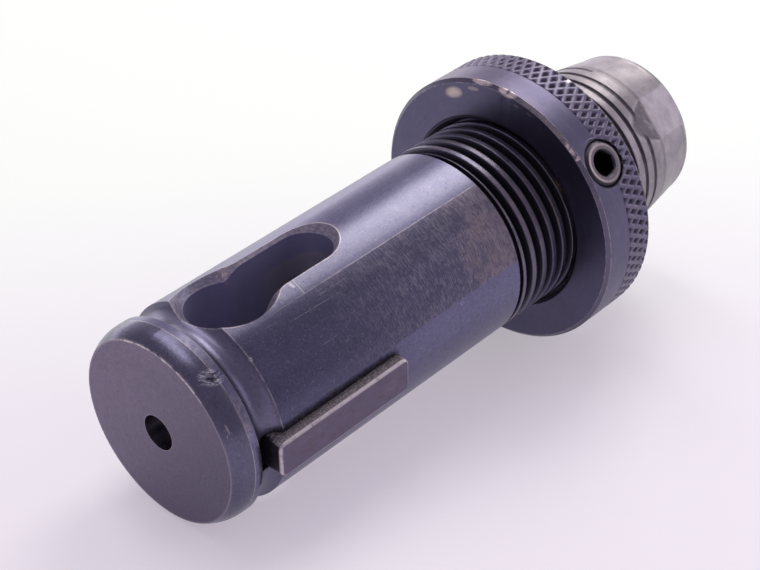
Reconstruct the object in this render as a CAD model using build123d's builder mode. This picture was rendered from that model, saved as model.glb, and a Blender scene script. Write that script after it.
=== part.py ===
from build123d import *
import os
from math import sin, cos, tan, radians

# ---------------------------------------------------------------- dimensions
# millimetres; +X runs along the axis from the tail face to the nose, +Z up.
# Angles "phi" are taken about the axis from +Z towards -Y.

# shank and tail
SHANK_R = 13.494            # 1-1/16 in shank
TAIL_FACE_R = 12.53         # flat tail face, out to the start of its lead
LEAD_X = 2.95               # convex lead from the face up to the bead
LEAD_MID_R = 13.26          # radius half way along the lead
BEAD_END = 4.10             # narrow land of the bead
GROOVE_X1 = 8.02            # far edge of the retaining groove
GROOVE_R = 12.22            # radius at the bottom of the groove
SHANK_END = 51.66           # end of the full shank
TAIL_HOLE_R = 2.41
RELIEF_END = 52.32          # narrow relief between shank and thread
RELIEF_R = 12.75

# adjusting thread, 1-1/16 in - 12 right hand, trapezoidal
PITCH = 25.4 / 12
CREST_R = 13.494
ROOT_R = 12.160
ROOT_FLAT = 0.65
FLANK = 14.5
GROOVE_X = 53.038           # a groove centre where phi = 0
HALF_ROOT = ROOT_FLAT / 2
REACH = CREST_R - ROOT_R + 0.35

# nose
LENGTH = 93.25
NOSE_START = 72.6           # full thread crest ends here
NOSE_R0 = 12.86             # turned nose where it starts
NOSE_R0_X = 73.6
NOSE_R1 = 12.26             # turned nose where the thread dies out
NOSE_R1_X = 84.80
NOSE_R2 = 11.22             # just before the end radius
NOSE_R2_X = 91.60
NOSE_END_R = 10.25
NOSE_FLAT_PHI = 53.0        # facet on the nose
NOSE_FLAT_X = 82.6
NOSE_FLAT_D = 12.17
NOSE_FLAT_D_END = 10.52

# Morse No. 2 socket
MT2_MOUTH_R = 17.780 / 2
MT2_TAPER = 0.04995 / 2     # radius per mm of depth
SOCKET_REAMED = 66.3
SOCKET_DRILLED = 67.5
SOCKET_DRILL_R = 7.15
MOUTH_CHAMFER = 0.5

# drift slot, a keyhole with its round end at the tail
SLOT_HALF = 3.77            # half width of the walls
SLOT_END_X = 26.375         # centre of the far end
KEYHOLE_X = 12.85
KEYHOLE_R = 5.20
WALL_CORNER = 1.6           # blend between round end and slot
BEVEL_Z = 12.05             # level where the 45 degree bevel is laid out
BEVEL_HALF = 3.375          # its half width there
BEVEL_R = 5.95              # its radius there, round the keyhole
BEVEL_CORNER = 3.2

# drive key and its seat
KEY_PHI = 94.3
KEY_W = 5.00
KEY_X0 = 5.95
KEY_X1 = 28.25
KEY_TOP = 14.85
KEY_BOTTOM = 11.20
KEY_CORNER = 1.00
KEY_EDGE = 0.40
SEAT_SIDE = 0.06            # side clearance of the seat
SEAT_X0 = 4.45
SEAT_X1 = 28.32

# adjusting nut
NUT_X0 = 62.42
NUT_X1 = 71.99
NUT_R = 19.74
NUT_BORE_R = 13.56
NUT_GROOVE_R = 14.50
NUT_FRONT_CHAMFER = 0.50
NUT_REAR_CHAMFER = 0.35
KNURL_X0 = 67.42
KNURL_R = 19.30             # floor of the knurled band
KNURL_STEP = 0.42           # narrow groove in front of the knurl
KNURL_STEP_R = 19.22
NUT_MOUTH = 0.9

# set screw, 1/4 in, and the soft plug under it
SCREW_PHI = 54.6
SCREW_X = 66.40
SCREW_R = 3.175
SCREW_HOLE_R = 3.225
SCREW_SINK = 25.0           # half angle of the broken edge of its hole
SCREW_TOP = 19.70
SCREW_LEN = 4.70
SCREW_CHAMFER = 0.45
SCREW_CUP_R = 1.6
SCREW_CUP = 0.7
HEX_AF = 3.175
HEX_DEPTH = 2.4
HEX_MOUTH_R = 1.95          # broken edge of the hexagon socket
HEX_MOUTH = 0.40
PLUG_R = 3.165
PLUG_BOTTOM = 13.54

os.makedirs("parts", exist_ok=True)


def out(phi):
    """unit vector pointing outwards at phi"""
    return (0.0, -sin(radians(phi)), cos(radians(phi)))


def side_plane(x, phi, h):
    """plane square to the outward direction at phi, h from the axis; its x runs along the axis"""
    o = out(phi)
    return Plane(origin=(x, o[1] * h, o[2] * h), x_dir=(1, 0, 0), z_dir=o)


def section_plane(line):
    """plane square to the start of a helix; its x runs along the axis and its y outwards"""
    start = line @ 0
    radial = Vector(0, start.Y, start.Z).normalized()
    along = line % 0
    plane = Plane(origin=start, x_dir=radial.cross(along), z_dir=along)
    if plane.y_dir.dot(radial) < 0:
        plane = Plane(origin=start, x_dir=along.cross(radial), z_dir=along)
    return plane


# centre lines of the grooves, one turn each: on the body, and inside the nut half a pitch on
thread_turns = [
    Helix(PITCH, PITCH, ROOT_R, center=(GROOVE_X + (n - 2) * PITCH, 0, 0), direction=(1, 0, 0))
    for n in range(17)
]
nut_turns = [
    Helix(PITCH, PITCH, NUT_GROOVE_R, center=(GROOVE_X + (n + 3.5) * PITCH, 0, 0), direction=(1, 0, 0))
    for n in range(6)
]

# ---------------------------------------------------------------- adapter body
with BuildPart() as adapter_body:
    # threaded length and nose, as turned
    with BuildSketch(Plane.XZ) as nose_profile:
        with BuildLine():
            l1 = Polyline(
                (50.5, 0), (50.5, CREST_R), (NOSE_START, CREST_R),
                (NOSE_R0_X, NOSE_R0), (NOSE_R1_X, NOSE_R1), (NOSE_R2_X, NOSE_R2),
            )
            l2 = ThreePointArc(
                (NOSE_R2_X, NOSE_R2),
                (NOSE_R2_X + 1.20, NOSE_R2 - 0.36),
                (LENGTH, NOSE_END_R),
            )
            l3 = Polyline((LENGTH, NOSE_END_R), (LENGTH, 0), (50.5, 0))
        make_face()
    revolve(axis=Axis.X)

    # thread groove, one turn at a time
    for turn in thread_turns:
        with BuildSketch(section_plane(turn)) as groove_section:
            with BuildLine():
                Polyline(
                    (-HALF_ROOT, 0), (HALF_ROOT, 0),
                    (HALF_ROOT + REACH * tan(radians(FLANK)), REACH),
                    (-HALF_ROOT - REACH * tan(radians(FLANK)), REACH),
                    (-HALF_ROOT, 0),
                )
            make_face()
        sweep(path=turn, is_frenet=True, mode=Mode.SUBTRACT)

    # narrow relief behind the shank
    with BuildSketch(Plane.XZ) as relief:
        with BuildLine():
            Polyline((50.4, RELIEF_R), (RELIEF_END, RELIEF_R), (RELIEF_END, 14.5), (50.4, 14.5), (50.4, RELIEF_R))
        make_face()
    revolve(axis=Axis.X, mode=Mode.SUBTRACT)

    # shank, groove and bead
    with BuildSketch(Plane.XZ) as shank_profile:
        with BuildLine():
            Polyline((0, 0), (0, TAIL_FACE_R))
            ThreePointArc((0, TAIL_FACE_R), (LEAD_X * 0.5, LEAD_MID_R), (LEAD_X, SHANK_R))
            Polyline((LEAD_X, SHANK_R), (BEAD_END, SHANK_R))
            ThreePointArc(
                (BEAD_END, SHANK_R), ((BEAD_END + GROOVE_X1) / 2, GROOVE_R), (GROOVE_X1, SHANK_R)
            )
            Polyline(
                (GROOVE_X1, SHANK_R), (SHANK_END - 0.12, SHANK_R), (SHANK_END, SHANK_R - 0.12),
                (SHANK_END, 0), (0, 0),
            )
        make_face()
    revolve(axis=Axis.X)

    # Morse socket from the nose
    with BuildSketch(Plane.XZ) as socket_profile:
        r_end = MT2_MOUTH_R - MT2_TAPER * SOCKET_REAMED
        with BuildLine():
            Polyline(
                (LENGTH + 1, 0), (LENGTH + 1, MT2_MOUTH_R + MOUTH_CHAMFER + 1),
                (LENGTH, MT2_MOUTH_R + MOUTH_CHAMFER),
                (LENGTH - MOUTH_CHAMFER, MT2_MOUTH_R - MT2_TAPER * MOUTH_CHAMFER),
                (LENGTH - SOCKET_REAMED, r_end),
                (LENGTH - SOCKET_REAMED, SOCKET_DRILL_R),
                (LENGTH - SOCKET_DRILLED, SOCKET_DRILL_R),
                (LENGTH - SOCKET_DRILLED - SOCKET_DRILL_R * 0.58, 0),
                (LENGTH + 1, 0),
            )
        make_face()
    revolve(axis=Axis.X, mode=Mode.SUBTRACT)

    # hole in the tail face
    with BuildSketch(Plane.YZ) as tail_hole:
        Circle(TAIL_HOLE_R)
    extrude(amount=KEYHOLE_X, mode=Mode.SUBTRACT)

    # drift slot, right through
    with BuildSketch(Plane.XY.offset(-20)) as slot_outline:
        with Locations((KEYHOLE_X, 0)):
            Circle(KEYHOLE_R)
        with Locations(((KEYHOLE_X + SLOT_END_X) / 2, 0)):
            Rectangle(SLOT_END_X - KEYHOLE_X, 2 * SLOT_HALF)
        with Locations((SLOT_END_X, 0)):
            Circle(SLOT_HALF)
        corners = [
            v for v in slot_outline.vertices()
            if KEYHOLE_X + 1.5 < v.X < KEYHOLE_X + KEYHOLE_R and abs(abs(v.Y) - SLOT_HALF) < 0.05
        ]
        fillet(corners, WALL_CORNER)
    extrude(amount=40, mode=Mode.SUBTRACT)

    # bevel round both mouths of the slot, deeper round the keyhole
    for side in (1, -1):
        with BuildSketch(Plane.XY.offset(side * BEVEL_Z)) as bevel_outline:
            with Locations((KEYHOLE_X, 0)):
                Circle(BEVEL_R)
            with Locations(((KEYHOLE_X + SLOT_END_X) / 2, 0)):
                Rectangle(SLOT_END_X - KEYHOLE_X, 2 * BEVEL_HALF)
            with Locations((SLOT_END_X, 0)):
                Circle(BEVEL_HALF)
            corners = [
                v for v in bevel_outline.vertices()
                if KEYHOLE_X + 2 < v.X < KEYHOLE_X + BEVEL_R and abs(abs(v.Y) - BEVEL_HALF) < 0.05
            ]
            fillet(corners, BEVEL_CORNER)
        extrude(amount=2.2 * side, taper=-45, mode=Mode.SUBTRACT)
        depth = BEVEL_R - KEYHOLE_R
        with BuildSketch(Plane.XY.offset(side * (BEVEL_Z - depth))) as cone_foot:
            with Locations((KEYHOLE_X, 0)):
                Circle(KEYHOLE_R)
        extrude(amount=(depth + 0.001) * side, taper=-45, mode=Mode.SUBTRACT)

    # seat of the drive key, open into the groove
    with BuildSketch(side_plane((SEAT_X0 + SEAT_X1) / 2, KEY_PHI, KEY_BOTTOM)) as key_seat:
        RectangleRounded(SEAT_X1 - SEAT_X0, KEY_W + 2 * SEAT_SIDE, KEY_CORNER + SEAT_SIDE)
    extrude(amount=5, mode=Mode.SUBTRACT)

    # slanted facet on the nose
    slope = (NOSE_FLAT_D_END - NOSE_FLAT_D) / (LENGTH - NOSE_FLAT_X)
    o = Vector(*out(NOSE_FLAT_PHI))
    n = (o - Vector(1, 0, 0) * slope).normalized()
    base = o * NOSE_FLAT_D + Vector(NOSE_FLAT_X, 0, 0)
    along = Vector(1, 0, 0) + o * slope
    with BuildSketch(Plane(origin=base, x_dir=along, z_dir=n)) as nose_facet:
        with Locations((6, 0)):
            Rectangle(16, 16)
    extrude(amount=4, mode=Mode.SUBTRACT)

adapter_body.part.label = "adapter_body"

# ---------------------------------------------------------------- drive key
with BuildPart() as drive_key:
    with BuildSketch(side_plane((KEY_X0 + KEY_X1) / 2, KEY_PHI, KEY_BOTTOM)) as key_plan:
        RectangleRounded(KEY_X1 - KEY_X0, KEY_W, KEY_CORNER)
    extrude(amount=KEY_TOP - KEY_BOTTOM)
    top = drive_key.faces().sort_by(Axis((0, 0, 0), out(KEY_PHI)))[-1]
    fillet(top.edges(), KEY_EDGE)
drive_key.part.label = "drive_key"

# ---------------------------------------------------------------- adjusting nut
with BuildPart() as adjusting_nut:
    with BuildSketch(Plane.XZ) as nut_profile:
        with BuildLine():
            Polyline(
                (NUT_X0, NUT_BORE_R + NUT_MOUTH),
                (NUT_X0, NUT_R - NUT_FRONT_CHAMFER),
                (NUT_X0 + NUT_FRONT_CHAMFER, NUT_R),
                (KNURL_X0 - KNURL_STEP, NUT_R),
                (KNURL_X0 - KNURL_STEP * 0.6, KNURL_STEP_R),
                (KNURL_X0, KNURL_STEP_R),
                (KNURL_X0 + 0.10, KNURL_R),
                (NUT_X1 - NUT_REAR_CHAMFER, KNURL_R),
                (NUT_X1, KNURL_R - NUT_REAR_CHAMFER),
                (NUT_X1, NUT_BORE_R + NUT_MOUTH),
                (NUT_X1 - NUT_MOUTH, NUT_BORE_R),
                (NUT_X0 + NUT_MOUTH, NUT_BORE_R),
                (NUT_X0, NUT_BORE_R + NUT_MOUTH),
            )
        make_face()
    revolve(axis=Axis.X)

    # internal thread, cut clear of the external crests
    nut_reach = NUT_GROOVE_R - NUT_BORE_R + 0.25
    for turn in nut_turns:
        with BuildSketch(section_plane(turn)) as nut_section:
            with BuildLine():
                Polyline(
                    (-HALF_ROOT, 0), (HALF_ROOT, 0),
                    (HALF_ROOT + nut_reach * tan(radians(FLANK)), -nut_reach),
                    (-HALF_ROOT - nut_reach * tan(radians(FLANK)), -nut_reach),
                    (-HALF_ROOT, 0),
                )
            make_face()
        sweep(path=turn, is_frenet=True, mode=Mode.SUBTRACT)

    # radial hole for the set screw
    with BuildSketch(side_plane(SCREW_X, SCREW_PHI, 10)) as screw_hole:
        Circle(SCREW_HOLE_R)
    extrude(amount=12, mode=Mode.SUBTRACT)
    with BuildSketch(side_plane(SCREW_X, SCREW_PHI, SCREW_TOP - 0.35)) as screw_sink:
        Circle(SCREW_HOLE_R)
    extrude(amount=1.0, taper=-SCREW_SINK, mode=Mode.SUBTRACT)
adjusting_nut.part.label = "adjusting_nut"

# ---------------------------------------------------------------- set screw
with BuildPart() as set_screw:
    with BuildSketch(side_plane(SCREW_X, SCREW_PHI, SCREW_TOP - SCREW_LEN)) as screw_round:
        Circle(SCREW_R)
    extrude(amount=SCREW_LEN)
    ax = Axis((0, 0, 0), out(SCREW_PHI))
    chamfer(set_screw.faces().sort_by(ax)[-1].edges(), SCREW_CHAMFER)
    chamfer(set_screw.faces().sort_by(ax)[0].edges(), 0.5)
    with BuildSketch(side_plane(SCREW_X, SCREW_PHI, SCREW_TOP)) as hex_sketch:
        RegularPolygon(radius=HEX_AF / 2, side_count=6, major_radius=False, rotation=12)
    extrude(amount=-HEX_DEPTH, mode=Mode.SUBTRACT)
    with BuildSketch(side_plane(SCREW_X, SCREW_PHI, SCREW_TOP - HEX_MOUTH)) as hex_mouth:
        Circle(HEX_MOUTH_R - HEX_MOUTH)
    extrude(amount=HEX_MOUTH, taper=-45, mode=Mode.SUBTRACT)
    with BuildSketch(side_plane(SCREW_X, SCREW_PHI, SCREW_TOP - SCREW_LEN)) as cup:
        Circle(SCREW_CUP_R)
    extrude(amount=SCREW_CUP, taper=45, mode=Mode.SUBTRACT)
set_screw.part.label = "set_screw"

# ---------------------------------------------------------------- thread plug
with BuildPart() as thread_plug:
    with BuildSketch(side_plane(SCREW_X, SCREW_PHI, PLUG_BOTTOM)) as plug_round:
        Circle(PLUG_R)
    extrude(amount=SCREW_TOP - SCREW_LEN - PLUG_BOTTOM)
    # underside follows the crests of the thread
    with BuildSketch(Plane.YZ.offset(SCREW_X - 5)) as crest_round:
        Circle(PLUG_BOTTOM)
    extrude(amount=10, mode=Mode.SUBTRACT)
    top = thread_plug.faces().sort_by(Axis((0, 0, 0), out(SCREW_PHI)))[-1]
    chamfer(top.edges(), 0.2)
thread_plug.part.label = "thread_plug"

for piece in (adapter_body, drive_key, adjusting_nut, set_screw, thread_plug):
    bb = piece.part.bounding_box()
    print(piece.part.label, len(piece.part.solids()), "volume", round(piece.part.volume, 1),
          "x", round(bb.min.X, 3), round(bb.max.X, 3), "y", round(bb.min.Y, 3), round(bb.max.Y, 3),
          "z", round(bb.min.Z, 3), round(bb.max.Z, 3))

export_step(adapter_body.part, "parts/adapter_body.step")
export_step(drive_key.part, "parts/drive_key.step")
export_step(adjusting_nut.part, "parts/adjusting_nut.step")
export_step(set_screw.part, "parts/set_screw.step")
export_step(thread_plug.part, "parts/thread_plug.step")
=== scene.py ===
import bpy
import bmesh
import math
from mathutils import Matrix, Vector


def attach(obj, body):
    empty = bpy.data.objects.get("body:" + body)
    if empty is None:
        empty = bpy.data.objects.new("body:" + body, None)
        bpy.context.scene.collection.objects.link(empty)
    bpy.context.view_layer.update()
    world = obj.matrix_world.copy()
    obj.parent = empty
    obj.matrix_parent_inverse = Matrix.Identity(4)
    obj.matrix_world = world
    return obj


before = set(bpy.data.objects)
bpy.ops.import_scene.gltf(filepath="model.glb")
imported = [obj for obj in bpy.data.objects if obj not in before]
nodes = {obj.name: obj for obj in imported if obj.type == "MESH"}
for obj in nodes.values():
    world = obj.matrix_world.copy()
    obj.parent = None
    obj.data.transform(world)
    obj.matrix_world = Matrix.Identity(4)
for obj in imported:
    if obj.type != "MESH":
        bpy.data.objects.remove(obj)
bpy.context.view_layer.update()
MM = 0.001


# ------------------------------------------------------------------ node helpers
class V:
    """A number in a material's node tree, with arithmetic."""

    def __init__(self, g, socket):
        self.g, self.s = g, socket

    def _op(self, op, *args, clamp=False):
        return self.g.math(op, self, *args, clamp=clamp)

    def __add__(self, o):
        return self._op("ADD", o)

    __radd__ = __add__

    def __sub__(self, o):
        return self._op("SUBTRACT", o)

    def __rsub__(self, o):
        return self.g.math("SUBTRACT", o, self)

    def __mul__(self, o):
        return self._op("MULTIPLY", o)

    __rmul__ = __mul__

    def __truediv__(self, o):
        return self._op("DIVIDE", o)

    def __neg__(self):
        return self._op("MULTIPLY", -1.0)

    def abs(self):
        return self._op("ABSOLUTE")

    def sqrt(self):
        return self._op("SQRT")

    def pow(self, o):
        return self._op("POWER", o)

    def max(self, o):
        return self._op("MAXIMUM", o)

    def min(self, o):
        return self._op("MINIMUM", o)

    def clamp(self):
        return self.g.math("ADD", self, 0.0, clamp=True)

    def step(self, a, b):
        """0 at a, 1 at b, smooth between; b below a turns it round"""
        n = self.g.new("ShaderNodeMapRange")
        n.interpolation_type = "SMOOTHSTEP"
        self.g.put(n.inputs[0], self)
        if b > a:
            n.inputs[1].default_value, n.inputs[2].default_value = a, b
            n.inputs[3].default_value, n.inputs[4].default_value = 0.0, 1.0
        else:
            n.inputs[1].default_value, n.inputs[2].default_value = b, a
            n.inputs[3].default_value, n.inputs[4].default_value = 1.0, 0.0
        return V(self.g, n.outputs[0])

    def within(self, lo, hi, soft):
        return self.step(lo - soft, lo + soft) * self.step(hi + soft, hi - soft)

    def near(self, at, width):
        """1 at a value, falling to 0 at width away"""
        return (self - at).abs().step(width, 0.0)


class G:
    """A material whose numbers come from the part's own millimetres."""

    def __init__(self, name):
        self.mat = bpy.data.materials.new(name)
        self.mat.use_nodes = True
        self.t = self.mat.node_tree
        self.t.nodes.clear()
        self.out = self.new("ShaderNodeOutputMaterial")
        self.bsdf = self.new("ShaderNodeBsdfPrincipled")
        self.t.links.new(self.bsdf.outputs[0], self.out.inputs[0])
        tc = self.new("ShaderNodeTexCoord")
        sep = self.new("ShaderNodeSeparateXYZ")
        self.t.links.new(tc.outputs["Object"], sep.inputs[0])
        self.x = V(self, sep.outputs[0]) * 1000.0
        self.y = V(self, sep.outputs[1]) * 1000.0
        self.z = V(self, sep.outputs[2]) * 1000.0
        self.r = (self.y * self.y + self.z * self.z).sqrt()
        self.phi = self.math("ARCTAN2", -self.y, self.z) * (180.0 / math.pi)

    def new(self, kind):
        return self.t.nodes.new(kind)

    def put(self, socket, value):
        if isinstance(value, V):
            self.t.links.new(value.s, socket)
        else:
            socket.default_value = value

    def math(self, op, *args, clamp=False):
        n = self.new("ShaderNodeMath")
        n.operation = op
        n.use_clamp = clamp
        for i, a in enumerate(args):
            self.put(n.inputs[i], a)
        return V(self, n.outputs[0])

    def vec(self, a, b, c):
        n = self.new("ShaderNodeCombineXYZ")
        for i, v in enumerate((a, b, c)):
            self.put(n.inputs[i], v)
        return n.outputs[0]

    def noise(self, vector, scale=1.0, detail=3.0, rough=0.55, distort=0.0):
        n = self.new("ShaderNodeTexNoise")
        self.t.links.new(vector, n.inputs["Vector"])
        n.inputs["Scale"].default_value = scale
        n.inputs["Detail"].default_value = detail
        n.inputs["Roughness"].default_value = rough
        n.inputs["Distortion"].default_value = distort
        return V(self, n.outputs["Fac"])

    def cells(self, vector, scale=1.0):
        n = self.new("ShaderNodeTexVoronoi")
        self.t.links.new(vector, n.inputs["Vector"])
        n.inputs["Scale"].default_value = scale
        return V(self, n.outputs["Distance"])

    def mix(self, fac, a, b):
        return a + (b - a) * fac if isinstance(a, V) or isinstance(b, V) else fac * (b - a) + a

    def colour(self, rgb):
        n = self.new("ShaderNodeRGB")
        n.outputs[0].default_value = (*rgb, 1.0)
        return n.outputs[0]

    def blend(self, fac, a, b):
        """colour a towards colour b"""
        n = self.new("ShaderNodeMix")
        n.data_type = "RGBA"
        self.put(n.inputs[0], fac)
        for socket, c in ((n.inputs[6], a), (n.inputs[7], b)):
            if isinstance(c, tuple):
                socket.default_value = (*c, 1.0)
            else:
                self.t.links.new(c, socket)
        return n.outputs[2]

    def edge(self, radius_mm, lo=0.02, hi=0.18):
        """1 on a sharp edge: how far the normal turns when the edge is rounded"""
        bev = self.new("ShaderNodeBevel")
        bev.samples = 4
        bev.inputs["Radius"].default_value = radius_mm * MM
        geo = self.new("ShaderNodeNewGeometry")
        dot = self.new("ShaderNodeVectorMath")
        dot.operation = "DOT_PRODUCT"
        self.t.links.new(bev.outputs[0], dot.inputs[0])
        self.t.links.new(geo.outputs["Normal"], dot.inputs[1])
        return (1.0 - V(self, dot.outputs["Value"])).step(lo, hi)

    def spot(self, u, u0, ru, v, v0, rv, soft=0.35):
        """1 inside an oval patch"""
        a = (u - u0) * (1.0 / ru)
        b = (v - v0) * (1.0 / rv)
        return (a * a + b * b).step(1.0, soft)

    def finish(self, colour, rough, height=None, metallic=1.0, bump=1.0, rounding=None):
        b = self.bsdf
        self.t.links.new(colour, b.inputs["Base Color"])
        if isinstance(metallic, V):
            self.t.links.new(metallic.s, b.inputs["Metallic"])
        else:
            b.inputs["Metallic"].default_value = metallic
        self.put(b.inputs["Roughness"], rough)
        if height is not None:
            n = self.new("ShaderNodeBump")
            n.inputs["Strength"].default_value = bump
            n.inputs["Distance"].default_value = MM
            self.t.links.new(height.s, n.inputs["Height"])
            if rounding is not None:
                bev = self.new("ShaderNodeBevel")
                bev.samples = 4
                self.put(bev.inputs["Radius"], rounding * MM)
                self.t.links.new(bev.outputs[0], n.inputs["Normal"])
            self.t.links.new(n.outputs[0], b.inputs["Normal"])
        return self.mat


# ------------------------------------------------------------------ finishes
OXIDE_DARK = (0.104, 0.102, 0.178)
OXIDE = (0.152, 0.147, 0.246)
OXIDE_WORN = (0.212, 0.203, 0.290)
GRIME_AND_SHADE = (0.018, 0.016, 0.019)
BROWN = (0.175, 0.128, 0.122)
PALE = (0.50, 0.45, 0.48)


def hair_lines(g, vector, scale, width, detail=1.0, distort=0.3):
    """thin wandering lines where a noise crosses its middle value"""
    n = g.noise(vector, scale, detail, 0.5, distort)
    return (n - 0.5).abs().step(width, 0.0)


def body_finish():
    g = G("blackened_body_steel")
    x, y, z, r, phi = g.x, g.y, g.z, g.r, g.phi
    here = g.vec(x, y, z)
    ay, az = y.abs(), z.abs()

    # how far outside the slot's outline, and how far outside its sloping bevel
    dx = x - 12.85
    ring = (dx * dx + y * y).sqrt() - 5.95
    run = (x - 26.375).max(12.85 - x).max(0.0)
    lane = (run * run + y * y).sqrt() - 3.375
    fx, fy = x - 19.213, ay - 6.575
    corner = 3.2 - (fx * fx + fy * fy).sqrt()
    wedge = x.step(19.25, 19.15) * (ay - dx * 1.0333).step(0.1, -0.1) * ay.step(2.0, 2.6)
    outline = ring.min(lane).min(corner + (1.0 - wedge) * 100.0)
    slope = outline - (az - 12.05)
    # the same for the upright walls below the bevel
    gx, gy = x - 17.021, ay - 5.37
    corner_w = 1.6 - (gx * gx + gy * gy).sqrt()
    wedge_w = x.step(17.06, 16.98) * (ay - dx * 1.2875).step(0.1, -0.1) * ay.step(2.0, 2.6)
    walls = (ring + 0.75).min(lane - 0.395).min(corner_w + (1.0 - wedge_w) * 100.0)

    # where things are
    face = x.step(0.05, 0.01) * r.step(2.2, 2.6)
    outside = r.step(9.6, 10.2)
    shank = x.within(8.1, 51.6, 0.1) * r.step(13.2, 13.4)
    tail = x.step(8.3, 7.9) * r.step(11.0, 11.6)
    bead = tail * x.step(3.05, 2.85) * (1.0 - face)
    hollow = x.within(4.1, 8.0, 0.08) * r.step(11.0, 11.6)
    thread = x.within(51.7, 72.5, 0.12) * outside
    nose = x.step(72.5, 72.7) * outside
    wall = walls.step(0.10, 0.03) * r.step(13.40, 13.30) * x.step(32.0, 31.0)
    bevel = slope.step(0.10, 0.03) * az.step(11.24, 11.32) * (1.0 - nose) * (1.0 - wall)
    rim_line = slope.near(0.09, 0.14) * az.step(12.1, 12.3) * (1.0 - wall) * x.step(32.0, 31.0)
    low_line = slope.near(0.0, 0.10) * walls.step(0.16, 0.05) * az.step(11.1, 11.3) * x.step(32.0, 31.0)

    # uneven patina
    cloud = g.noise(here, 0.16, 4.0, 0.6, 0.4)
    mottle = g.noise(here, 0.9, 4.0, 0.65, 0.2)
    speck = g.noise(here, 4.5, 3.0, 0.7)
    grain = g.noise(g.vec(x * 9.0, y * 0.55, z * 0.55), 1.0, 3.0, 0.6)
    fine = g.noise(g.vec(x * 22.0, y * 1.2, z * 1.2), 1.0, 2.0, 0.6)
    streak = g.noise(g.vec(x * 0.09, y * 2.2, z * 2.2), 1.0, 3.0, 0.6)
    tone = (cloud * 0.9 + mottle * 0.6 + speck * 0.55 - 0.52).clamp()
    colour = g.blend(tone, OXIDE_DARK, OXIDE)
    colour = g.blend(shank * streak.step(0.45, 0.75) * 0.08, colour, OXIDE_WORN)
    nicks = hair_lines(g, here, 1.5, 0.006, 1.0, 0.5) * g.noise(here, 0.8, 3.0).step(0.52, 0.66)
    nicks = nicks.max(g.noise(here, 5.5, 2.0, 0.6).step(0.66, 0.74) * 0.7)
    grit = g.noise(here, 3.0, 4.0, 0.8)
    oxide = (1.0 - face) * x.step(52.0, 51.6)
    colour = g.blend(oxide * grit.step(0.50, 0.72) * 0.30, colour, (0.250, 0.238, 0.330))
    colour = g.blend(oxide * grit.step(0.48, 0.30) * 0.34, colour, (0.062, 0.060, 0.105))
    colour = g.blend(nicks * shank * 0.46, colour, (0.36, 0.33, 0.40))

    # worn top of the shank, rubbed a little lighter
    rubbed = shank * (phi.within(-30.0, 27.0, 8.0)) * (g.noise(here, 0.32, 4.0, 0.6).step(0.45, 0.75))
    colour = g.blend(rubbed * 0.30, colour, OXIDE_WORN)
    # the top of the shank paler and less blue where the key light falls: partly polish, partly painted highlight
    polish_and_sheen = shank * phi.within(6.0, 27.0, 6.0) * (0.55 + (mottle - 0.5) * 1.2).clamp()
    colour = g.blend(polish_and_sheen * 0.75, colour, (0.186, 0.182, 0.222))
    # painted shade: the side of the shank darkened towards the tail
    shade = shank * phi.within(27.5, 92.0, 3.0) * x.step(35.0, 17.0)
    colour = g.blend(shade * 0.40, colour, (0.022, 0.022, 0.040))

    # rough band along one side of the shank, with fine marks across it
    edge_noise = (g.noise(g.vec(x * 0.5, 0.0, 0.0), 1.0, 3.0) - 0.5) * 0.5
    band = (phi + edge_noise).within(28.1, 78.2, 0.45) * x.step(14.0, 34.0) * x.step(73.0, 72.0) * r.step(13.2, 13.42)
    marks = g.noise(g.vec(x * 4.6, y * 0.85, z * 0.85), 1.0, 2.0, 0.55)
    ticks = g.noise(g.vec(x * 3.6, y * 1.7, z * 1.7), 1.0, 4.0, 0.75)
    patchy = g.noise(here, 0.55, 4.0, 0.65)
    tick = (ticks * 0.6 + marks * 0.50 + (patchy - 0.5) * 0.45).step(0.47, 0.70)
    colour = g.blend(band * 0.70, colour, (0.066, 0.064, 0.106))
    colour = g.blend(band * tick * 0.62, colour, (0.215, 0.194, 0.250))
    colour = g.blend(band * x.step(41.0, 50.0) * (patchy * 0.6 + 0.2).clamp() * (tick * 0.6 + 0.4) * 0.80, colour, (0.280, 0.232, 0.255))
    # the same painted shade over the band towards the tail
    colour = g.blend(band * shade * 0.35, colour, (0.022, 0.022, 0.040))
    patch = g.noise(here, 0.42, 4.0, 0.65, 0.5).step(0.42, 0.64)
    rust = band * (g.spot(x, 48.0, 6.5, phi, 60.0, 20.0, 0.1) * 0.9 + x.step(30.0, 50.0) * 0.25).min(1.0) * (patch * 0.75 + 0.25)
    colour = g.blend(rust * 0.62 * (tick * 0.5 + 0.5), colour, (0.270, 0.205, 0.205))

    # thin pale line along the band's upper edge: partly wear, partly painted highlight on the edge
    line = (phi + edge_noise * 0.5).near(28.3, 0.46) * x.within(14.5, 51.0, 1.4) * r.step(13.3, 13.45)
    line = line * (g.noise(g.vec(x * 0.7, 0.0, 4.0), 1.0, 3.0).step(0.22, 0.55)) * x.step(12.0, 30.0).max(0.30)
    colour = g.blend(line * 0.62, colour, (0.46, 0.41, 0.46))

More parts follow.
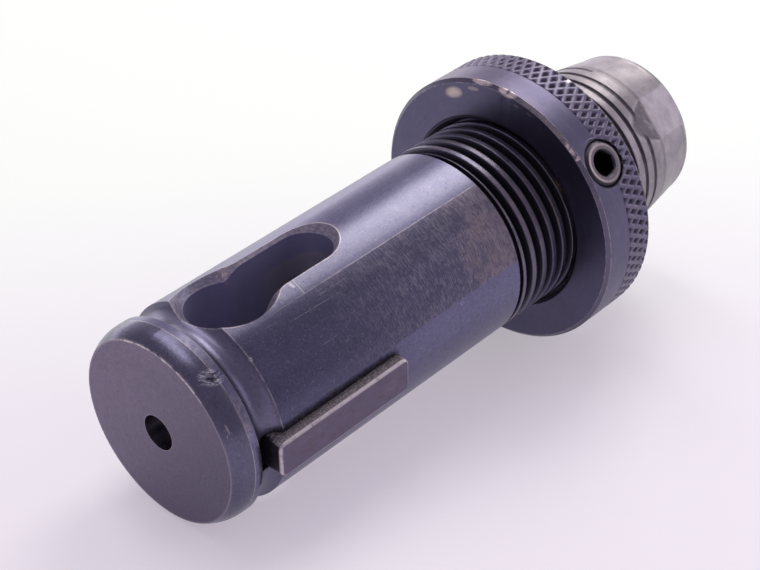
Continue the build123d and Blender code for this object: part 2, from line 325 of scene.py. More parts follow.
    # long scratches beside the slot
    s1 = hair_lines(g, g.vec(x * 0.055, phi * 0.16, 0.0), 1.0, 0.005) * x.within(10.0, 50.0, 3.0) * shank
    s1 = s1 * g.noise(here, 0.5, 2.0).step(0.50, 0.62)
    drift = (x - 15.6) * 0.11
    s2 = (phi - drift).near(36.8, 0.24) * x.within(15.6, 24.0, 0.6)
    s2 = s2.max(phi.near(33.1, 0.20) * x.within(20.5, 26.0, 0.5)).max(phi.near(55.6, 0.20) * x.within(17.5, 20.2, 0.3))
    s2 = s2 * g.noise(g.vec(x * 1.2, phi * 0.5, 0.0), 1.0, 3.0).step(0.35, 0.55) * shank
    s3 = hair_lines(g, here, 0.55, 0.003, 1.0, 0.6) * g.noise(here, 0.30, 3.0).step(0.50, 0.62) * outside
    tick1 = (x + (phi - 18.0) * 0.03).near(20.22, 0.15) * phi.within(18.4, 28.0, 0.5)
    tick2 = g.spot(x, 19.55, 0.30, phi, 20.4, 2.8, 0.3) * g.noise(here, 1.8, 3.0, 0.6).step(0.35, 0.60) * (1.0 - wall) * (1.0 - bevel)
    scratch = (s1 * 0.4 + s2 * 0.8 + s3 * 0.5 + tick1 * 0.95 + tick2 * 0.85).clamp()
    colour = g.blend(scratch * 0.55, colour, (0.46, 0.43, 0.47))

    # tail face: dull, faintly ringed, with a worn broken rim
    rings = g.noise(g.vec(r * 4.5, y * 0.22, z * 0.22), 1.0, 2.0, 0.6)
    faced = g.blend((rings * 0.8 + cloud * 0.5 - 0.15).clamp(), (0.118, 0.101, 0.152), (0.208, 0.176, 0.246))
    faced = g.blend((grit * 0.7 + speck * 0.5).step(0.45, 0.85) * 0.35, faced, (0.250, 0.218, 0.290))
    faced = g.blend(mottle.step(0.42, 0.68) * 0.55, faced, (0.205, 0.176, 0.232))
    faced = g.blend(g.noise(here, 2.1, 2.0, 0.5).step(0.67, 0.75) * 0.7, faced, (0.045, 0.040, 0.055))
    # painted shade: the face darker towards its lower side
    low_side_shade = (y * -0.75 - z * 0.66).step(-9.0, 12.0)
    faced = g.blend(low_side_shade * 0.52, faced, (0.082, 0.078, 0.122))
    colour = g.blend(face, colour, faced)
    smear = face * (g.spot(r, 5.0, 1.6, phi, -47.0, 9.0) * 0.7 + g.spot(r, 11.2, 1.6, phi, -5.0, 34.0) * 0.8)
    smear = smear * g.noise(g.vec(y * 1.1, z * 4.2, 0.0), 1.0, 5.0, 0.75).step(0.46, 0.74)
    colour = g.blend(smear * 0.36, colour, (0.34, 0.30, 0.35))
    burr = g.noise(here, 1.1, 4.0, 0.7)
    rim = r.near(12.48, 0.25) * x.step(0.35, 0.1) * (burr.step(0.42, 0.56) * phi.within(-22.0, 44.0, 8.0) * 1.0 + 0.20)
    colour = g.blend(rim.clamp() * 0.95, colour, (0.74, 0.68, 0.70))

    # bead: dark and glossy; a worn ridge, a scuffed land, a soft hollow
    colour = g.blend(bead * 0.70, colour, g.blend(mottle, (0.084, 0.081, 0.126), (0.140, 0.132, 0.184)))
    wear_noise = g.noise(g.vec(x, y * 0.6, z * 0.6), 0.8, 4.0, 0.65)
    ridge = x.near(2.98, 0.13) * tail * wear_noise.step(0.26, 0.55)
    ridge2 = x.near(4.08, 0.11) * tail * wear_noise.step(0.34, 0.60) * 0.6
    scuff = x.within(3.02, 3.95, 0.10) * tail * (phi.within(50.0, 76.0, 5.0) + phi.within(8.0, 36.0, 6.0) * 0.6)
    scuff = scuff * g.noise(g.vec(x * 2.0, y * 1.3, z * 1.3), 1.0, 4.0, 0.65).step(0.34, 0.62)
    turning = g.noise(g.vec(x * 10.0, y * 0.14, z * 0.14), 1.0, 2.0, 0.6).step(0.52, 0.68) * x.within(2.5, 4.0, 0.2) * tail
    scuff = scuff.max(turning * phi.within(-30.0, 62.0, 14.0) * 0.65)
    nips = g.spot(x, 1.05, 0.55, phi, 66.5, 5.5) * g.noise(g.vec(x * 3.0, y, z), 1.4, 3.0, 0.6).step(0.54, 0.62)
    lip = x.near(8.05, 0.16) * r.step(13.0, 13.4) * (phi.within(12.0, 88.0, 8.0) * 0.7 + 0.15) * g.noise(here, 0.9, 3.0).step(0.30, 0.60)
    lip = lip.max(g.spot(x, 8.12, 0.30, phi, 41.8, 1.9, 0.2) * g.noise(here, 2.6, 3.0, 0.7).step(0.34, 0.52) * 1.3)
    colour = g.blend((ridge * 0.62 + ridge2 + scuff * 0.42 + nips * 0.7 + lip * 0.55).clamp(), colour, (0.44, 0.39, 0.42))
    colour = g.blend(hollow * 0.45, colour, (0.170, 0.152, 0.212))

    # a knock on the bead: a few short curved gashes, bumped in and painted dark as painted shade, with bright lips that
    # are partly bare metal, partly painted highlight
    arc = phi * 0.232
    along = (x - 2.45) * 0.868 + (arc - 8.95) * 0.495
    across = (arc - 8.95) * 0.868 - (x - 2.45) * 0.495
    bruise = g.noise(g.vec(along * 0.6, across * 2.1 + along * along * 0.5, 1.7), 1.0, 4.0, 0.6, 0.4)
    struck = g.spot(along, 0.0, 1.85, across, 0.0, 1.25, 0.0) * tail
    gash_shade = struck * bruise.step(0.55, 0.44)
    lip_wear_and_highlight = struck * bruise.step(0.545, 0.60) * bruise.step(0.70, 0.62)
    scrape = g.spot(x, 2.3, 0.9, phi, 29.0, 9.0, 0.0) * g.noise(g.vec(x * 1.6, y * 3.4, z * 3.4), 1.0, 4.0, 0.75).step(0.54, 0.72) * tail
    colour = g.blend(scrape * 0.50, colour, (0.42, 0.39, 0.44))
    colour = g.blend(gash_shade * 0.80, colour, (0.030, 0.028, 0.040))
    colour = g.blend(lip_wear_and_highlight * 0.88, colour, (0.54, 0.50, 0.54))

    # fine handling specks all over
    specks = g.noise(here, 3.4, 3.0, 0.6)
    colour = g.blend(specks.step(0.58, 0.70) * 0.24, colour, (0.34, 0.32, 0.37))
    colour = g.blend(specks.step(0.42, 0.30) * 0.36, colour, (0.030, 0.029, 0.040))

    # slot: walls painted a lighter blue than the oxide, as painted light reaching into the slot; scraped bevel, pale
    # broken edges
    colour = g.blend(wall, colour, g.blend(tone, (0.180, 0.178, 0.305), (0.250, 0.240, 0.385)))
    tooling = g.noise(g.vec(x * 1.6, y * 1.6, z * 6.0), 1.0, 3.0, 0.65)
    colour = g.blend(bevel * 0.85, colour, g.blend(tooling.step(0.35, 0.65), (0.170, 0.160, 0.225), (0.290, 0.272, 0.345)))
    broken = g.noise(here, 1.5, 4.0, 0.7)
    rim_wear = rim_line * (broken.step(0.34, 0.56) * 0.75 + 0.15)
    colour = g.blend((rim_wear + low_line * broken.step(0.36, 0.60) * 0.45).clamp(), colour, PALE)
    nick = g.noise(here, 2.0, 4.0, 0.7).step(0.44, 0.60) * g.spot(x, 16.9, 1.15, y, 4.75, 1.15, 0.2) * z.step(10.4, 10.9) * bevel.max(wall)
    colour = g.blend(nick * 0.80, colour, (0.60, 0.46, 0.46))

    # thread: roots painted dark as painted shade; crests lighter, partly polish, partly painted highlight
    root_shade = thread * r.step(13.30, 12.95)
    crest_polish_and_sheen = thread * r.step(13.38, 13.47) * wear_noise.step(0.25, 0.60)
    colour = g.blend(thread * (1.0 - band * 0.4) * 0.75, colour, (0.112, 0.104, 0.146))
    colour = g.blend(root_shade * 0.95, colour, (0.050, 0.046, 0.062))
    colour = g.blend(crest_polish_and_sheen * 0.30, colour, (0.275, 0.240, 0.255))
    relief = x.within(51.68, 52.30, 0.06) * r.step(13.3, 13.0) * outside
    colour = g.blend(relief, colour, (0.070, 0.065, 0.085))

    # nose: bare turned steel, stained, with black in what is left of the thread
    skin = g.noise(here, 0.42, 5.0, 0.62, 0.4)
    bare = g.blend((skin * 1.3 + speck * 0.25 - 0.30).step(0.1, 0.85), (0.225, 0.205, 0.232), (0.350, 0.322, 0.348))
    bare = g.blend(grain.step(0.40, 0.75) * 0.20, bare, (0.44, 0.41, 0.43))
    deep = (12.86 - (x - 73.6) * 0.05357) - r
    stained = g.noise(here, 0.7, 3.0).step(0.25, 0.50)
    trough = deep.step(0.03, 0.14) * x.step(86.4, 85.4)
    bare = g.blend(trough * (0.50 + stained * 0.32), bare, (0.062, 0.055, 0.068))
    bare = g.blend(deep.step(-0.02, 0.03) * x.step(86.4, 84.0) * (1.0 - trough) * 0.35, bare, (0.15, 0.14, 0.15))
    colour = g.blend(nose, colour, bare)

    # grime and painted shade along the key, on the seat floor beside it and in the open end of its seat
    t = (phi - 94.3) * 0.2355
    reach = (g.noise(here, 1.4, 4.0, 0.75) - 0.5) * 1.1
    side = (t.abs() + reach).step(3.75, 2.75) * t.abs().step(2.1, 2.3) * x.within(4.6, 27.7, 0.8)
    side = side * t.step(3.2, -1.0).max(0.40)
    seat = (t.abs() + reach * 0.7).step(3.5, 2.5) * (x + reach * 0.6).within(3.7, 8.2, 0.45)
    floor_of_seat = t.abs().step(2.75, 2.5) * x.within(4.0, 28.6, 0.1) * r.step(13.44, 13.30)
    dirt_and_shade = (side * 0.85).max(seat * 0.92).max(floor_of_seat) * x.step(30.0, 29.0) * r.step(10.6, 10.9)
    colour = g.blend(dirt_and_shade.clamp(), colour, GRIME_AND_SHADE)
    flecks = g.noise(here, 3.4, 3.0, 0.7).step(0.56, 0.68) * dirt_and_shade
    colour = g.blend(flecks * 0.45, colour, (0.24, 0.19, 0.18))

    # socket and tail hole
    bore = (1.0 - outside) * x.step(21.0, 24.0)
    colour = g.blend(bore, colour, g.blend(grain, (0.20, 0.19, 0.25), (0.34, 0.33, 0.41)))
    hole = r.step(2.55, 2.44) * x.step(9.0, 8.0)
    inside_hole = g.blend(g.noise(here, 1.3, 3.0, 0.7).step(0.45, 0.7), (0.230, 0.215, 0.275), (0.33, 0.28, 0.31))
    inside_hole = g.blend(g.noise(here, 2.3, 3.0, 0.6).step(0.60, 0.70) * 0.55, inside_hole, (0.26, 0.09, 0.07))
    colour = g.blend(hole, colour, inside_hole)

    rough = 0.285 + cloud * 0.05 + speck * 0.05
    rough = rough + band * 0.10 + face * 0.10 + wall * 0.20 + bevel * 0.12 + nose * 0.10 - bead * 0.065 + hollow * 0.02
    rough = g.mix((root_shade * 0.5 + dirt_and_shade).clamp(), rough, 0.72)
    rough = g.mix((ridge * 0.5).clamp(), rough, 0.28)

    # heights in millimetres
    h = grain * 0.005 + fine * 0.003 + mottle * 0.008 + speck * 0.002
    h = h + band * (marks.step(0.35, 0.65) * 0.008) + face * rings * 0.008 + nicks * shank * -0.004
    h = h - scratch * 0.008 - dirt_and_shade * 0.06 * g.noise(here, 3.0, 4.0, 0.7)
    h = h - gash_shade * 0.10 + struck * bruise * 0.05
    h = h + nose * (skin * 0.05 + grain * 0.008) + rim * (burr - 0.5) * 0.05 + bevel * tooling * 0.03
    rounding = 0.05 + thread * 0.24 + nose * 0.26
    dull = (wall * 0.70 + rim * 0.60 + lip_wear_and_highlight * 0.5 + lip * 0.45 + tick1 * shank * 0.55 + ridge * 0.3 + rim_wear * 0.4 + nick * 0.5).clamp()
    return g.finish(colour, rough, h, rounding=rounding, metallic=1.0 - dull)


def key_finish():
    g = G("worn_key_steel")
    x, y, z, r, phi = g.x, g.y, g.z, g.r, g.phi
    here = g.vec(x, y, z)
    o = (-math.sin(math.radians(94.3)), math.cos(math.radians(94.3)))
    h = y * o[0] + z * o[1]
    t = y * o[1] - z * o[0]
    cloud = g.noise(here, 0.4, 4.0, 0.6, 0.4)
    mottle = g.noise(here, 1.6, 4.0, 0.7)
    grain = g.noise(g.vec(x * 0.5, t * 7.0, h * 7.0), 1.0, 3.0, 0.6)
    colour = g.blend((cloud * 0.8 + mottle * 0.5 - 0.25).clamp(), (0.106, 0.088, 0.136), (0.162, 0.134, 0.196))
    colour = g.blend(grain.step(0.5, 0.78) * 0.22, colour, (0.28, 0.24, 0.29))
    stain = g.noise(here, 0.8, 4.0, 0.7).step(0.52, 0.66)
    colour = g.blend(stain * 0.45, colour, (0.105, 0.070, 0.078))
    # worn edges all round the outer face and down the two ends
    ends = (x - 17.10).abs().step(10.95, 11.10) * h.step(12.6, 13.4)
    edge = h.within(14.42, 14.82, 0.05) * (t.abs().step(2.05, 2.25).max((x - 17.10).abs().step(10.70, 10.92)))
    post = (x - 17.10).abs().within(10.55, 11.02, 0.08) * t.abs().step(2.0, 2.2) * h.step(12.9, 13.5)
    rub = g.noise(here, 1.3, 4.0, 0.6).step(0.22, 0.52)
    worn = (edge.max(post * 0.8)) * (rub * 0.75 + 0.25)
    colour = g.blend(worn * 0.88, colour, (0.62, 0.56, 0.60))
    worn_patch = g.spot(x, 24.9, 1.7, t, -0.2, 1.1, 0.2).max(g.spot(x, 11.5, 3.0, t, 1.0, 0.9, 0.1) * 0.5)
    worn_patch = worn_patch * g.noise(g.vec(x * 1.1, t * 5.0, h), 1.0, 5.0, 0.8).step(0.42, 0.78) * h.step(14.80, 14.84)
    colour = g.blend(worn_patch * 0.40, colour, (0.33, 0.30, 0.35))
    # the key's lower sides, where it sits in its seat, painted dark: grime and painted shade
    low = h.step(14.0, 13.45) * g.noise(here, 2.2, 3.0).step(0.25, 0.60) * (1.0 - ends * 0.5)
    colour = g.blend(low * 0.9, colour, GRIME_AND_SHADE)
    # the upper side carries rubbed oil and grit
    up = t.abs().step(2.3, 2.45) * h.step(14.7, 14.4)
    grit = g.noise(here, 3.4, 4.0, 0.75).step(0.44, 0.62)
    colour = g.blend(up * 0.55, colour, (0.150, 0.130, 0.142))
    colour = g.blend(up * grit * 0.75, colour, (0.34, 0.31, 0.33))
    rough = g.mix(low.max(up * 0.7), 0.36 + mottle * 0.10, 0.66)
    hh = mottle * 0.02 + grain * 0.008 + up * grit * 0.03 - worn * 0.01
    return g.finish(colour, rough, hh, metallic=1.0 - worn * 0.45)


NUT_O = (-math.sin(math.radians(54.6)), math.cos(math.radians(54.6)))


def nut_colours(g, knurled=False):
    x, y, z, r, phi = g.x, g.y, g.z, g.r, g.phi
    here = g.vec(x, y, z)
    cloud = g.noise(here, 0.15, 4.0, 0.6, 0.5)
    mottle = g.noise(here, 1.1, 4.0, 0.65)
    speck = g.noise(here, 5.0, 3.0, 0.7)
    turned = g.noise(g.vec(x * 8.0, y * 0.30, z * 0.30), 1.0, 3.0, 0.6)
    rings = g.noise(g.vec(r * 6.0, y * 0.20, z * 0.20), 1.0, 3.0, 0.6)
    colour = g.blend((cloud * 0.9 + mottle * 0.5 - 0.20).clamp(), (0.086, 0.082, 0.136), (0.134, 0.124, 0.198))
    lateral = y * NUT_O[1] - z * NUT_O[0]
    out = y * NUT_O[0] + z * NUT_O[1]
    rl = ((x - 66.40) * (x - 66.40) + lateral * lateral).sqrt() + out.step(15.0, 13.0) * 50.0
    return x, y, z, r, phi, here, cloud, mottle, speck, turned, rings, colour, rl, out


def nut_finish():
    g = G("blackened_nut_steel")
    x, y, z, r, phi, here, cloud, mottle, speck, turned, rings, colour, rl, out = nut_colours(g)
    front = x.step(62.52, 62.44)
    colour = g.blend(front * rings.step(0.45, 0.75) * 0.20, colour, (0.165, 0.158, 0.225))

    # rubbed outside of the smooth half
    smooth = x.within(62.9, 66.95, 0.10) * r.step(19.5, 19.65)
    rub = smooth * (g.noise(g.vec(x * 0.7, y * 0.22, z * 0.22), 1.0, 4.0, 0.6).step(0.44, 0.72))
    colour = g.blend(rub * 0.28 + smooth * phi.within(-22.0, 6.0, 10.0) * 0.25, colour, (0.200, 0.168, 0.246))
    hairs = hair_lines(g, here, 0.50, 0.0035, 1.0, 0.5) * g.noise(here, 0.35, 3.0).step(0.50, 0.62) * smooth
    colour = g.blend(hairs * 0.30, colour, (0.42, 0.39, 0.43))

    # front chamfer, knocked bright in places
    cham = x.within(62.42, 62.92, 0.05) * r.step(19.20, 19.28)
    colour = g.blend(cham * 0.40, colour, (0.150, 0.136, 0.170))
    knocks = g.spot(x, 62.80, 0.34, phi, -4.5, 5.5, 0.5).max(g.spot(x, 62.74, 0.40, phi, 8.5, 5.0, 0.5))
    knocks = knocks.max(g.spot(x, 62.66, 0.22, phi, 43.0, 4.2, 0.4)).max(g.spot(x, 62.74, 0.32, phi, 47.6, 1.0, 0.4))
    ragged = g.noise(g.vec(x * 1.8, y * 1.2, z * 1.2), 1.0, 5.0, 0.75, 0.3)
    colour = g.blend(knocks * r.step(18.9, 19.1) * ragged.step(0.36, 0.56) * 0.90, colour, (0.78, 0.68, 0.66))
    grey = cham * phi.within(14.0, 40.0, 3.0) * ragged.step(0.28, 0.55)
    colour = g.blend(grey * 0.60, colour, (0.330, 0.300, 0.300))
    stipple = cham * phi.within(49.0, 70.0, 5.0) * g.noise(g.vec(x * 7.0, y * 4.0, z * 4.0), 1.0, 4.0, 0.8).step(0.48, 0.70)
    colour = g.blend(stipple * 0.45, colour, (0.40, 0.36, 0.37))
    outer_edge = x.near(62.93, 0.10) * r.step(19.6, 19.7) * (ragged.step(0.38, 0.60) * 0.7 + 0.10)
    inner_edge = r.near(19.22, 0.10) * front.max(cham) * (ragged.step(0.42, 0.62) * 0.6 + 0.08)
    colour = g.blend((outer_edge + inner_edge).clamp() * 0.75, colour, (0.48, 0.43, 0.45))

    # one pale oval mark and a few small ones on the front face
    mark = g.spot(r, 17.85, 1.00, phi, -20.9, 6.2, 0.0) * (g.noise(here, 1.5, 4.0, 0.65) * 1.1 + 0.35).clamp()
    colour = g.blend(mark * front * 0.80, colour, (0.60, 0.49, 0.45))
    small = g.spot(r, 18.5, 0.35, phi, -9.0, 3.6, 0.3).max(g.spot(r, 18.5, 0.22, phi, 14.2, 1.6, 0.3)).max(g.spot(r, 18.6, 0.2, phi, 21.0, 1.8, 0.3))
    colour = g.blend(small * front * 0.45, colour, (0.46, 0.38, 0.38))

    # mouth and bore
    mouth = r.step(14.6, 14.3)
    colour = g.blend(mouth * 0.9, colour, (0.115, 0.106, 0.150))

    # step in front of the knurl, painted a little darker as painted shade, and its floor
    groove = x.step(66.98, 67.06) * x.step(71.9, 71.7) * r.step(19.6, 19.4)
    colour = g.blend(groove * 0.6, colour, (0.085, 0.076, 0.104))
    back = x.step(71.62, 71.75) * r.step(18.7, 18.9)
    colour = g.blend(back * (ragged.step(0.35, 0.60) * 0.55 + 0.15), colour, (0.36, 0.315, 0.32))

    # painted shade: a dark ring round the screw, thinly edged
    screw_ring_shade = rl.within(0.0, 3.46, 0.06)
    colour = g.blend(screw_ring_shade * 0.85, colour, (0.050, 0.046, 0.058))
    lip = rl.near(3.55, 0.12) * r.step(19.3, 19.5) * g.noise(here, 1.5, 3.0).step(0.45, 0.70)
    colour = g.blend(lip * 0.30, colour, (0.36, 0.33, 0.37))

    rough = 0.335 + cloud * 0.10 + speck * 0.06
    rough = rough - front * 0.06
    rough = g.mix((mouth + groove * 0.5 + screw_ring_shade).clamp() * 0.9, rough, 0.60)
    h = turned * 0.005 * (1.0 - front) + rings * 0.004 * front + mottle * 0.008 + speck * 0.002
    h = h - knocks * mottle * 0.06 + back * ragged * 0.03
    return g.finish(colour, rough, h, rounding=g.math("ADD", 0.06, 0.0))


def knurl_finish():
    g = G("knurled_steel")
    x, y, z, r, phi, here, cloud, mottle, speck, turned, rings, colour, rl, out = nut_colours(g)
    # painted shade in the knurl's pits, with the ridges between them lighter
    pit_shade = r.step(19.66, 19.42)
    colour = g.blend((1.0 - pit_shade) * 0.40, colour, (0.170, 0.148, 0.205))
    colour = g.blend(pit_shade * 0.85, colour, (0.055, 0.048, 0.066))
    crown = r.step(19.67, 19.72) * g.noise(here, 0.45, 4.0, 0.65).step(0.42, 0.68)
    colour = g.blend(crown * 0.28, colour, (0.30, 0.262, 0.31))
    bright = r.step(19.62, 19.71) * g.noise(here, 0.55, 3.0, 0.6).step(0.60, 0.68) * x.step(70.3, 71.0) * phi.within(16.0, 40.0, 8.0)
    colour = g.blend(bright * 0.85, colour, (0.72, 0.64, 0.63))
    rear = x.step(71.10, 71.40) * g.noise(here, 0.8, 3.0, 0.6).step(0.30, 0.60)
    colour = g.blend(rear * 0.40, colour, (0.30, 0.26, 0.27))
    rough = g.mix(pit_shade, 0.36 + cloud * 0.12, 0.62)
    return g.finish(colour, rough, mottle * 0.02 + speck * 0.008)


def screw_finish():
    g = G("black_screw_steel")
    x, y, z, r, phi = g.x, g.y, g.z, g.r, g.phi
    here = g.vec(x, y, z)
    lateral = y * NUT_O[1] - z * NUT_O[0]
    out = y * NUT_O[0] + z * NUT_O[1]
    rl = ((x - 66.40) * (x - 66.40) + lateral * lateral).sqrt()
    grain = g.noise(here, 3.0, 4.0, 0.7)
    cloud = g.noise(here, 0.9, 3.0, 0.6)
    colour = g.blend(grain, (0.030, 0.028, 0.036), (0.070, 0.064, 0.078))
    top = out.step(19.60, 19.66) * rl.step(1.88, 2.0) * rl.step(2.80, 2.68)
    # the lit rim is brightest on the side towards the tail
    turn = ((66.40 - x) * 0.75 + lateral * 0.35) * 0.37
    shine = (turn * 0.45 + 0.55).clamp() * (grain.step(0.25, 0.55) * 0.35 + 0.65)
    colour = g.blend(top * 0.75, colour, (0.140, 0.125, 0.142))
    outer_ring = rl.within(2.36, 2.68, 0.07)
    colour = g.blend(top * shine * (outer_ring * 0.72 + 0.10), colour, (0.52, 0.45, 0.47))
    # painted shade: the hex socket painted near black
    deep = rl.step(1.90, 1.75) * out.step(19.60, 19.40)
    colour = g.blend(deep, colour, (0.014, 0.012, 0.016))
    rough = g.mix(deep, 0.34 + cloud * 0.12, 0.6)
    return g.finish(colour, rough, grain * 0.012)


def plug_finish():
    g = G("plug_brass")
    here = g.vec(g.x, g.y, g.z)
    grain = g.noise(g.vec(g.x * 4.0, g.y * 0.8, g.z * 0.8), 1.0, 3.0, 0.6)
    cloud = g.noise(here, 0.7, 3.0, 0.6)
    colour = g.blend((grain * 0.5 + cloud * 0.6).step(0.3, 0.8), (0.42, 0.28, 0.11), (0.76, 0.58, 0.30))
    return g.finish(colour, 0.30 + cloud * 0.15, grain * 0.01)


def dress(obj, mat):
    obj.data.materials.clear()
    obj.data.materials.append(mat)


nut_steel = nut_finish()
dress(nodes["adapter_body"], body_finish())
dress(nodes["drive_key"], key_finish())
dress(nodes["adjusting_nut"], nut_steel)
dress(nodes["set_screw"], screw_finish())
dress(nodes["thread_plug"], plug_finish())


# ------------------------------------------------------------------ knurl
def out_dir(phi):
    p = math.radians(phi)
    return Vector((0.0, -math.sin(p), math.cos(p)))


def add_mesh(name, verts, faces, mat, smooth=True):
    me = bpy.data.meshes.new(name)
    me.from_pydata([tuple(v) for v in verts], [], faces)
    me.validate()
    for p in me.polygons:
        p.use_smooth = smooth
    ob = bpy.data.objects.new(name, me)
    bpy.context.scene.collection.objects.link(ob)
    me.materials.append(mat)
    return ob


def tri(t):
    """0 on a whole number, 1 half way between"""
    t = t - math.floor(t)
    return 1.0 - abs(2.0 * t - 1.0)


def make_knurl():
    count, per = 83, 12
    x0, x1 = 67.00, 71.66
    steps = 51
    lean = 1.0 / 2.6
    n = count * per
    verts, faces = [], []
    inner = 19.16
    cols = steps + 1
    for i in range(n):
        a = 2 * math.pi * i / n
        c, s = math.cos(a), math.sin(a)
        turn = i / per
        for j in range(cols):
            x = x0 + (x1 - x0) * j / steps
            d = min(tri(turn + (x - 69.70) * lean), tri(turn - (x - 69.70) * lean))
            d = min(1.0, max(0.0, (d - 0.24) / 0.60))
            wob = 0.5 + 0.5 * math.sin(a * 9.0 + x * 2.0) * math.sin(a * 5.0)
            depth = (0.30 + 0.06 * wob) * d * d * (3.0 - 2.0 * d)
            r = 19.735 - depth - 0.030 * wob
            end = (x1 - x) / 0.40
            if end < 1.0:
                r = min(r, 19.34 + 0.395 * max(0.0, end) ** 0.6)
            if j in (0, steps):
                r = 19.22
            verts.append((x * MM, -s * r * MM, c * r * MM))
        for j in (steps, 0):
            x = x0 + (x1 - x0) * j / steps
            verts.append((x * MM, -s * inner * MM, c * inner * MM))
    row = cols + 2
    for i in range(n):
        k = ((i + 1) % n) * row
        b = i * row
        for j in range(row):
            j2 = (j + 1) % row
            faces.append((b + j, b + j2, k + j2, k + j))
    ob = add_mesh("nut_knurl", verts, faces, knurl_finish())
    bm = bmesh.new()
    bm.from_mesh(ob.data)
    bmesh.ops.recalc_face_normals(bm, faces=bm.faces[:])
    bm.to_mesh(ob.data)
    bm.free()
    return ob


def bore_for_screw(ob, radius):
    """cut a round hole for the screw through a piece"""
    o = out_dir(54.6)
    side = Vector((1, 0, 0)).cross(o)
    verts, faces = [], []
    seg = 72
    for h in (17.0, 21.0):
        for k in range(seg):
            a = 2 * math.pi * k / seg
            p = Vector((66.40, 0, 0)) + o * h + Vector((1, 0, 0)) * (radius * math.cos(a)) + side * (radius * math.sin(a))
            verts.append(p * MM)
    for k in range(seg):
        k2 = (k + 1) % seg
        faces.append((k, k2, seg + k2, seg + k))
    faces.append(tuple(range(seg - 1, -1, -1)))
    faces.append(tuple(range(seg, 2 * seg)))
    cut = add_mesh("cutter", verts, faces, nut_steel, smooth=False)
    bm = bmesh.new()
    bm.from_mesh(cut.data)
    bmesh.ops.recalc_face_normals(bm, faces=bm.faces[:])
    bm.to_mesh(cut.data)
    bm.free()
    mod = ob.modifiers.new("hole", "BOOLEAN")
    mod.operation = "DIFFERENCE"
    mod.solver = "EXACT"
    mod.object = cut
    bpy.context.view_layer.update()
    deps = bpy.context.evaluated_depsgraph_get()
    made = bpy.data.meshes.new_from_object(ob.evaluated_get(deps))
    ob.modifiers.clear()
    old = ob.data
    ob.data = made
    bpy.data.meshes.remove(old)
    bpy.data.objects.remove(cut)
    return ob


knurl = bore_for_screw(make_knurl(), 3.30)
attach(knurl, "nut")


# raised lip of metal beside the screw
def make_burr():
    o = out_dir(54.6)
    side = Vector((1, 0, 0)).cross(o) * -1.0
    verts, faces = [], []
    n, m = 26, 8
    for i in range(n + 1):
        f = i / n
        a = math.radians(-24.0 + 52.0 * f)
        swell = math.sin(math.pi * f) ** 0.7
        rad = 3.62 + 0.06 * math.sin(f * 7.0)
        centre = Vector((66.40, 0, 0)) + Vector((1, 0, 0)) * (rad * math.sin(a)) + side * (rad * math.cos(a))
        away = (Vector((1, 0, 0)) * math.sin(a) + side * math.cos(a)).normalized()
        for j in range(m):
            b = 2 * math.pi * j / m
            lat = 0.13 * swell * math.cos(b)
            up = 0.11 * swell * math.sin(b)
            p = centre + away * lat
            yz = Vector((0, p.y, p.z))
            flat = yz - o * yz.dot(o)
            h = math.sqrt(max(0.0, 19.74 ** 2 - flat.length_squared))
            if p.x > 67.4:
                h -= 0.08
            p = Vector((p.x, 0, 0)) + flat + o * (h - 0.03 + up)
            verts.append(p * MM)
    for i in range(n):
        for j in range(m):
            j2 = (j + 1) % m
            faces.append((i * m + j, i * m + j2, (i + 1) * m + j2, (i + 1) * m + j))
    faces.append(tuple(range(m - 1, -1, -1)))
    faces.append(tuple(range(n * m, n * m + m)))
    ob = add_mesh("screw_hole_burr", verts, faces, nut_steel)
    bm = bmesh.new()
    bm.from_mesh(ob.data)
    bmesh.ops.recalc_face_normals(bm, faces=bm.faces[:])
    bm.to_mesh(ob.data)
    bm.free()
    return ob


burr = make_burr()
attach(burr, "nut")


# ------------------------------------------------------------------ stage
SLOPE = math.radians(5.946)
UP = Vector((math.sin(SLOPE), 0.0, math.cos(SLOPE)))
ALONG = Vector((math.cos(SLOPE), 0.0, -math.sin(SLOPE)))
ACROSS = Vector((0.0, 1.0, 0.0))
FLOOR_AT = Vector((2.95, 0.0, -13.50)) * MM


def floor_finish():
    g = G("pale_floor")
    here = g.vec(g.x, g.y, g.z)
    wide = g.noise(here, 0.006, 3.0, 0.5)
    small = g.noise(here, 0.25, 3.0, 0.6)
    # painted light: the floor glows to lift the shade under the part; near the part its tone and glow are darker and
    # lavender, fading to lighter and neutral far away
    far = (g.x * 0.56 + g.y * 0.83 + (wide - 0.5) * 30.0).step(0.0, 115.0)
    near_tone = g.blend((wide * 0.8 + small * 0.2).step(0.2, 0.8), (0.500, 0.487, 0.520), (0.530, 0.516, 0.548))
    colour = g.blend(far, near_tone, (0.560, 0.600, 0.555))
    glow = g.blend(far, (0.392, 0.360, 0.402), (0.405, 0.410, 0.400))
    g.t.links.new(glow, g.bsdf.inputs["Emission Color"])
    g.bsdf.inputs["Emission Strength"].default_value = 1.0
    return g.finish(colour, 0.62 + small * 0.1, small * 0.01, metallic=0.0)


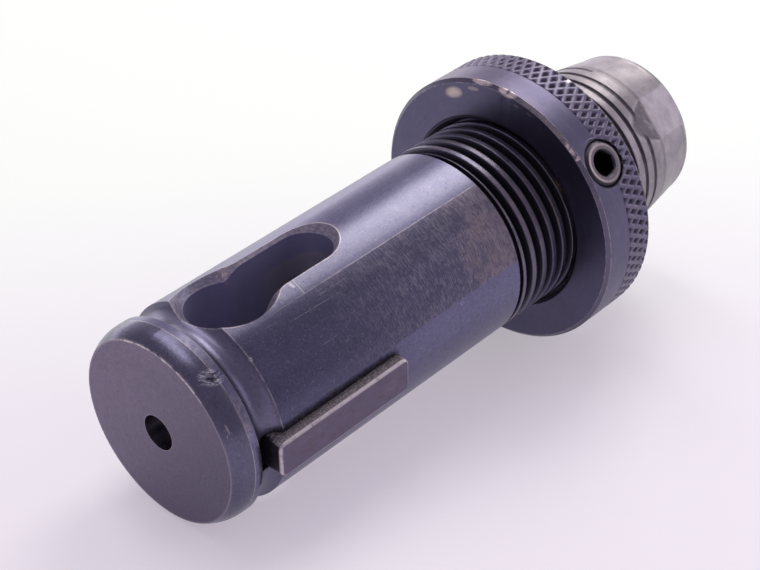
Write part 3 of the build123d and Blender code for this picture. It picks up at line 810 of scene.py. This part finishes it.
half = 3.0
corners = [FLOOR_AT + ALONG * (a * half) + ACROSS * (b * half) for a, b in ((-1, -1), (1, -1), (1, 1), (-1, 1))]
floor = add_mesh("floor", corners, [(0, 1, 2, 3)], floor_finish(), smooth=False)

world = bpy.data.worlds.new("studio")
bpy.context.scene.world = world
world.use_nodes = True
bg = world.node_tree.nodes["Background"]
bg.inputs[0].default_value = (0.930, 0.835, 1.0, 1.0)
bg.inputs[1].default_value = 0.44


def softbox(name, direction, distance, size_x, size_y, watts, colour=(1, 1, 1)):
    light = bpy.data.lights.new(name, "AREA")
    light.shape = "RECTANGLE"
    light.size, light.size_y = size_x, size_y
    light.energy = watts
    light.color = colour
    ob = bpy.data.objects.new(name, light)
    bpy.context.scene.collection.objects.link(ob)
    d = Vector(direction).normalized()
    ob.location = Vector((0.045, 0.0, 0.0)) + d * distance
    ob.rotation_euler = d.to_track_quat("Z", "Y").to_euler()
    return ob


softbox("key_light", (0.70, 0.22, 0.68), 0.70, 0.34, 0.34, 1.75, (1.0, 0.975, 0.90))
softbox("top_light", (0.12, 0.32, 0.94), 0.80, 0.24, 0.74, 1.6, (1.0, 0.98, 0.96))
softbox("horizon_light", (0.54, 0.84, -0.03), 1.00, 1.40, 0.28, 2.7, (1.0, 0.94, 1.0))
softbox("back_light", (0.50, 0.80, 0.32), 1.20, 1.60, 0.50, 0.8, (0.98, 0.95, 1.0))
softbox("end_light", (0.90, -0.42, 0.20), 0.80, 0.50, 0.50, 1.1, (0.98, 0.94, 1.0))

# camera: where the circles of the tail, bead, grooves, nut and nose put it
cam = bpy.data.cameras.new("camera")
cam.sensor_width = 36.0
cam.lens = 36.0 * 1893.66 / 760.0
cam.clip_start = 0.01
cam.clip_end = 20.0
cam_ob = bpy.data.objects.new("camera", cam)
bpy.context.scene.collection.objects.link(cam_ob)
right = Vector((0.6763555, -0.7335062, -0.0671700))
up = Vector((0.4448379, 0.3340837, 0.8309677))
back = right.cross(up)
cam_ob.matrix_world = Matrix.Translation(Vector((-106.713, -146.984, 137.400)) * MM) @ Matrix(
    (right, up, back)
).transposed().to_4x4()
bpy.context.scene.camera = cam_ob
bpy.context.scene.view_settings.view_transform = "Standard"
